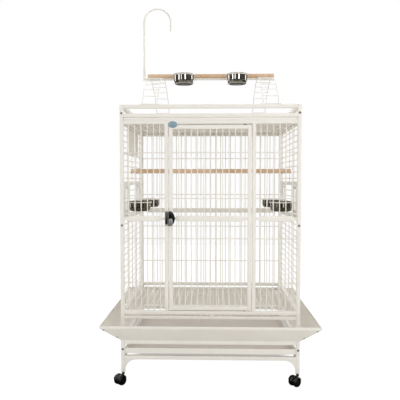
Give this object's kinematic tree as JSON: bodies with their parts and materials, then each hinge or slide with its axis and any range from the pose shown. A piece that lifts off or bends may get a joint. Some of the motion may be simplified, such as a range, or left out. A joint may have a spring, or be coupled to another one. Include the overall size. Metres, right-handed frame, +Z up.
{
  "type": "play top bird cage",
  "caption": "Large wire bird cage on castors with a swinging front door, side feeder doors, slide-out trays, sloping seed skirts and a wooden perch stand on its open roof.",
  "frame": {"origin": "on the floor under the middle of the cage", "axes": "+Z up, the front door faces -Y, +X is to the right of someone who looks at the front"},
  "size_m": [1.094, 0.891, 2.0267],
  "materials": {
    "powder_coat": "satin cream powder coat",
    "cup_steel": "polished stainless steel",
    "timber": "sanded bare pine",
    "black_plastic": "moulded black",
    "lever_metal": "satin grey"
  },
  "bodies": {
    "cage": {"side_frame_left": "powder_coat", "side_frame_right": "powder_coat", "side_mesh_lower_left": "powder_coat", "side_mesh_lower_right": "powder_coat", "side_mesh_upper_left": "powder_coat", "side_mesh_upper_right": "powder_coat", "feeder_panel_left": "powder_coat", "feeder_panel_right": "powder_coat", "front_frame": "powder_coat", "front_mesh_left": "powder_coat", "front_mesh_right": "powder_coat", "back_panel": "powder_coat", "lock_strike": "black_plastic", "roof_mesh": "powder_coat", "rim_rail_front_lower": "powder_coat", "rim_rail_front_upper": "powder_coat", "rim_rail_back_lower": "powder_coat", "rim_rail_back_upper": "powder_coat", "stand_rail_front_upper": "powder_coat", "stand_rail_front_lower": "powder_coat", "stand_rail_back_upper": "powder_coat", "stand_rail_back_lower": "powder_coat", "skirt_front": "powder_coat", "skirt_right": "powder_coat", "skirt_back": "powder_coat", "skirt_left": "powder_coat", "inner_perch": "timber", "play_stand": "powder_coat", "play_perch": "timber", "ladder_left_front": "powder_coat", "ladder_left_back": "powder_coat", "ladder_right_front": "powder_coat", "ladder_right_back": "powder_coat"},
    "front_door": {"front_door": "powder_coat", "lock_case": "black_plastic"},
    "lock_lever": {"lock_lever": "lever_metal"},
    "nest_door": {"nest_door": "powder_coat"},
    "feeder_door_left_front": {"feeder_door_left_front": "powder_coat"},
    "feeder_cup_left_front": {"feeder_cup_left_front": "cup_steel"},
    "feeder_door_left_back": {"feeder_door_left_back": "powder_coat"},
    "feeder_cup_left_back": {"feeder_cup_left_back": "cup_steel"},
    "feeder_door_right_front": {"feeder_door_right_front": "powder_coat"},
    "feeder_cup_right_front": {"feeder_cup_right_front": "cup_steel"},
    "feeder_door_right_back": {"feeder_door_right_back": "powder_coat"},
    "feeder_cup_right_back": {"feeder_cup_right_back": "cup_steel"},
    "play_cup_left": {"play_cup_left": "cup_steel"},
    "play_cup_right": {"play_cup_right": "cup_steel"},
    "toy_hook": {"toy_hook": "powder_coat"},
    "top_tray": {"top_tray": "powder_coat"},
    "bottom_tray": {"bottom_tray": "powder_coat"},
    "grate": {"grate": "powder_coat", "grate_tab": "powder_coat"},
    "castor_front_left": {"castor_front_left": "black_plastic"},
    "wheels_front_left": {"wheels_front_left": "black_plastic"},
    "castor_front_right": {"castor_front_right": "black_plastic"},
    "wheels_front_right": {"wheels_front_right": "black_plastic"},
    "castor_back_left": {"castor_back_left": "black_plastic"},
    "wheels_back_left": {"wheels_back_left": "black_plastic"},
    "castor_back_right": {"castor_back_right": "black_plastic"},
    "wheels_back_right": {"wheels_back_right": "black_plastic"}
  },
  "joints": [
    {"name": "front_door_swing", "type": "hinge", "parent": "cage", "child": "front_door", "pos_m": [0.1755, -0.346, 0.845], "axis": [0, 0, 1], "range_deg": [0, 140]},
    {"name": "lock_lever_turn", "type": "hinge", "parent": "front_door", "child": "lock_lever", "pos_m": [-0.1945, -0.378, 0.847], "axis": [0, 1, 0], "range_deg": [0, 60]},
    {"name": "nest_door_swing", "type": "hinge", "parent": "cage", "child": "nest_door", "pos_m": [-0.4475, 0.163, 1.261], "axis": [0, 0, -1], "range_deg": [0, 110]},
    {"name": "feeder_door_left_front_swing", "type": "hinge", "parent": "cage", "child": "feeder_door_left_front", "pos_m": [-0.4515, -0.1471, 0.944], "axis": [0, 0, -1], "range_deg": [0, 150]},
    {"name": "feeder_cup_left_front_lift", "type": "slide", "parent": "cage", "child": "feeder_cup_left_front", "axis": [0, 0, 1], "range_m": [0, 0.07]},
    {"name": "feeder_door_left_back_swing", "type": "hinge", "parent": "cage", "child": "feeder_door_left_back", "pos_m": [-0.4515, 0.2699, 0.944], "axis": [0, 0, -1], "range_deg": [0, 150]},
    {"name": "feeder_cup_left_back_lift", "type": "slide", "parent": "cage", "child": "feeder_cup_left_back", "axis": [0, 0, 1], "range_m": [0, 0.07]},
    {"name": "feeder_door_right_front_swing", "type": "hinge", "parent": "cage", "child": "feeder_door_right_front", "pos_m": [0.4515, -0.1471, 0.944], "axis": [0, 0, 1], "range_deg": [0, 150]},
    {"name": "feeder_cup_right_front_lift", "type": "slide", "parent": "cage", "child": "feeder_cup_right_front", "axis": [0, 0, 1], "range_m": [0, 0.07]},
    {"name": "feeder_door_right_back_swing", "type": "hinge", "parent": "cage", "child": "feeder_door_right_back", "pos_m": [0.4515, 0.2699, 0.944], "axis": [0, 0, 1], "range_deg": [0, 150]},
    {"name": "feeder_cup_right_back_lift", "type": "slide", "parent": "cage", "child": "feeder_cup_right_back", "axis": [0, 0, 1], "range_m": [0, 0.07]},
    {"name": "play_cup_left_lift", "type": "slide", "parent": "cage", "child": "play_cup_left", "axis": [0, 0, 1], "range_m": [0, 0.1]},
    {"name": "play_cup_right_lift", "type": "slide", "parent": "cage", "child": "play_cup_right", "axis": [0, 0, 1], "range_m": [0, 0.1]},
    {"name": "toy_hook_swivel", "type": "hinge", "parent": "cage", "child": "toy_hook", "pos_m": [-0.38, 0, 1.655], "axis": [0, 0, 1], "continuous": true},
    {"name": "top_tray_slide", "type": "slide", "parent": "cage", "child": "top_tray", "axis": [0, -1, 0], "range_m": [0, 0.6]},
    {"name": "bottom_tray_slide", "type": "slide", "parent": "cage", "child": "bottom_tray", "axis": [0, -1, 0], "range_m": [0, 0.6]},
    {"name": "grate_slide", "type": "slide", "parent": "cage", "child": "grate", "axis": [0, -1, 0], "range_m": [0, 0.6]},
    {"name": "castor_front_left_swivel", "type": "hinge", "parent": "cage", "child": "castor_front_left", "pos_m": [-0.4475, -0.346, 0.065], "axis": [0, 0, 1], "continuous": true},
    {"name": "wheels_front_left_spin", "type": "hinge", "parent": "castor_front_left", "child": "wheels_front_left", "pos_m": [-0.46043, -0.3638, 0.025], "axis": [0.809, -0.5878, 0], "continuous": true},
    {"name": "castor_front_right_swivel", "type": "hinge", "parent": "cage", "child": "castor_front_right", "pos_m": [0.4475, -0.346, 0.065], "axis": [0, 0, 1], "continuous": true},
    {"name": "wheels_front_right_spin", "type": "hinge", "parent": "castor_front_right", "child": "wheels_front_right", "pos_m": [0.43115, -0.36072, 0.025], "axis": [0.6691, -0.7431, 0], "continuous": true},
    {"name": "castor_back_left_swivel", "type": "hinge", "parent": "cage", "child": "castor_back_left", "pos_m": [-0.4475, 0.346, 0.065], "axis": [0, 0, 1], "continuous": true},
    {"name": "wheels_back_left_spin", "type": "hinge", "parent": "castor_back_left", "child": "wheels_back_left", "pos_m": [-0.45319, 0.36725, 0.025], "axis": [-0.9659, -0.2588, 0], "continuous": true},
    {"name": "castor_back_right_swivel", "type": "hinge", "parent": "cage", "child": "castor_back_right", "pos_m": [0.4475, 0.346, 0.065], "axis": [0, 0, 1], "continuous": true},
    {"name": "wheels_back_right_spin", "type": "hinge", "parent": "castor_back_right", "child": "wheels_back_right", "pos_m": [0.45319, 0.36725, 0.025], "axis": [-0.9659, 0.2588, 0], "continuous": true}
  ]
}
